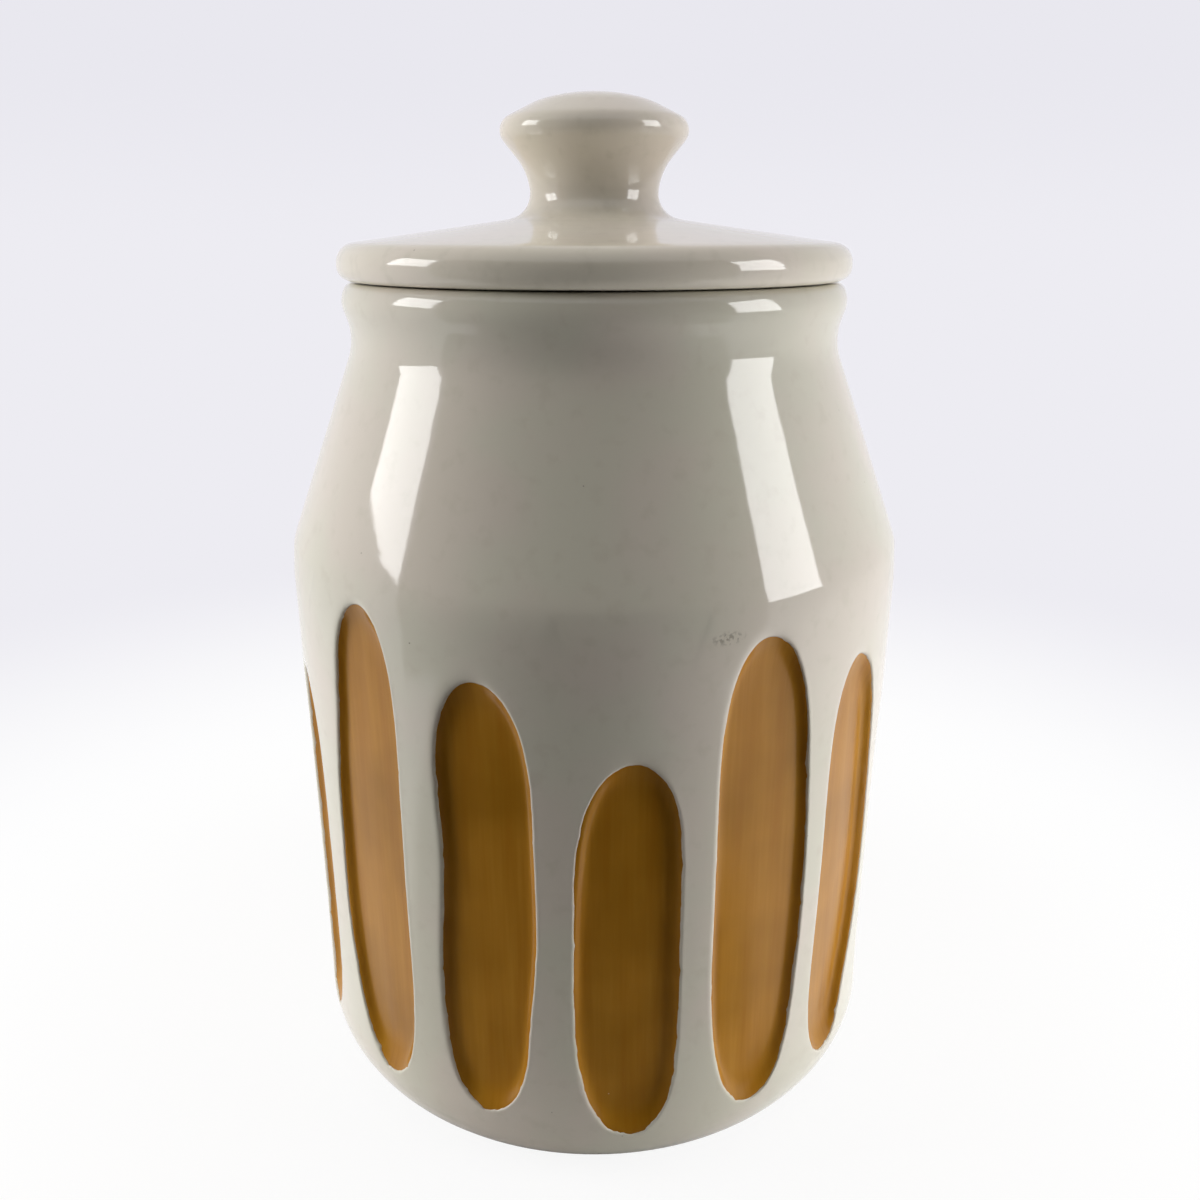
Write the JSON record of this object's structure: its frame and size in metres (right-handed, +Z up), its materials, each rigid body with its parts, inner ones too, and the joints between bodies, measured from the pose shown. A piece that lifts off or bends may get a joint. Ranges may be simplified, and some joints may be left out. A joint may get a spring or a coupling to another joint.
{
  "type": "candy jar",
  "caption": "Lidded ceramic candy jar with a sloping shoulder, amber carved flutes round its wall, and a lift-off lid with a knob and a seal ring in its skirt.",
  "frame": {"origin": "middle of the foot, on the surface that the jar stands on", "axes": "+Z up along the jar's axis, -Y towards the front, +X to the right seen from the front"},
  "size_m": [0.1498, 0.1498, 0.2424],
  "materials": {
    "warm_white_glaze": "gloss glaze, warm off-white, fired on stoneware",
    "amber_glaze": "satin amber-brown glaze brushed into the carved flutes",
    "silicone": "matt translucent silicone"
  },
  "bodies": {
    "jar": {"jar_body": "warm_white_glaze"},
    "seal": {"seal_ring": "silicone"},
    "lid": {"lid": "warm_white_glaze"}
  },
  "joints": [
    {"name": "lid_lift", "type": "slide", "parent": "jar", "child": "seal", "axis": [0, 0, 1], "range_m": [0, 0.1]},
    {"name": "lid_turn", "type": "hinge", "parent": "seal", "child": "lid", "pos_m": [0, 0, 0.1942], "axis": [0, 0, 1], "continuous": true}
  ]
}
